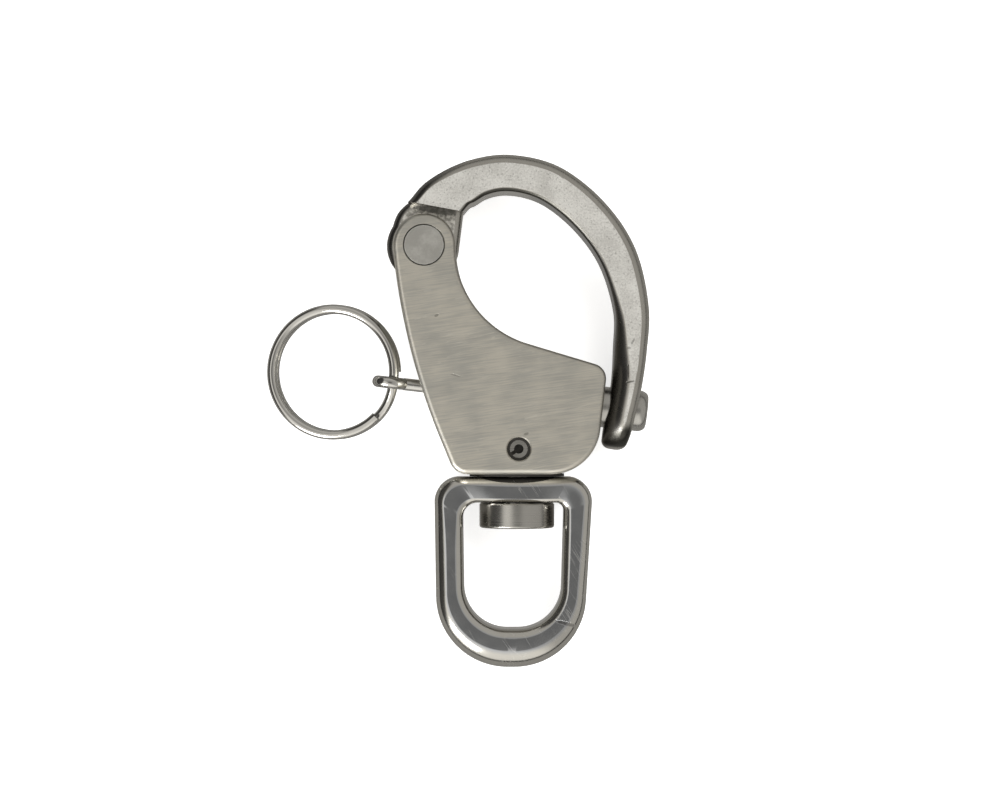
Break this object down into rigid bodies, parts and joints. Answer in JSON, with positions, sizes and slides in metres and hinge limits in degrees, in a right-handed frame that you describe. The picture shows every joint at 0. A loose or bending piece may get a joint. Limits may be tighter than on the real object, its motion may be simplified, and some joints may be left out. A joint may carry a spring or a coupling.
{
  "type": "snap shackle",
  "caption": "Swivel-eye snap shackle: hinged curved bail locked by a sprung plunger with a split ring pull, on a body that turns on a D-shaped eye.",
  "frame": {"origin": "on the body's back face, under the point where the swivel axis crosses the plunger's axis", "axes": "+Y along the swivel axis from the eye towards the bail, +X across the mouth from the pull ring towards the bail's free end, +Z out of the body's front face"},
  "size_m": [0.0655, 0.0873, 0.013],
  "materials": {
    "satin_steel": "satin, finely brushed",
    "cast_steel": "tumbled casting",
    "polished_steel": "polished",
    "turned_steel": "turned"
  },
  "bodies": {
    "shackle_body": {"body": "satin_steel", "pivot_rivet": "satin_steel", "swivel_bolt": "turned_steel", "retaining_pin": "turned_steel", "plunger_spring": "polished_steel"},
    "bail_arm": {"bail": "cast_steel"},
    "plunger": {"plunger_nose": "turned_steel", "pull_rod": "turned_steel"},
    "ring": {"pull_ring": "polished_steel"},
    "eye": {"swivel_eye": "polished_steel"}
  },
  "joints": [
    {"name": "bail_swing", "type": "hinge", "parent": "shackle_body", "child": "bail_arm", "pos_m": [-0.01574, 0.02573, 0.0065], "axis": [0, 0, 1], "range_deg": [0, 118]},
    {"name": "plunger_pull", "type": "slide", "parent": "shackle_body", "child": "plunger", "axis": [-0.9936, 0.1132, 0], "range_m": [0, 0.0076], "stiffness_N_per_m": 400, "springref_m": -0.004, "deforming": ["plunger_spring"]},
    {"name": "ring_swing", "type": "hinge", "parent": "plunger", "child": "ring", "pos_m": [-0.02115, 0.00241, 0.0065], "axis": [0.1132, 0.9936, 0], "range_deg": [-50, 90]},
    {"name": "eye_swivel", "type": "hinge", "parent": "shackle_body", "child": "eye", "pos_m": [0, -0.0155, 0.0065], "axis": [0, 1, 0], "continuous": true}
  ]
}
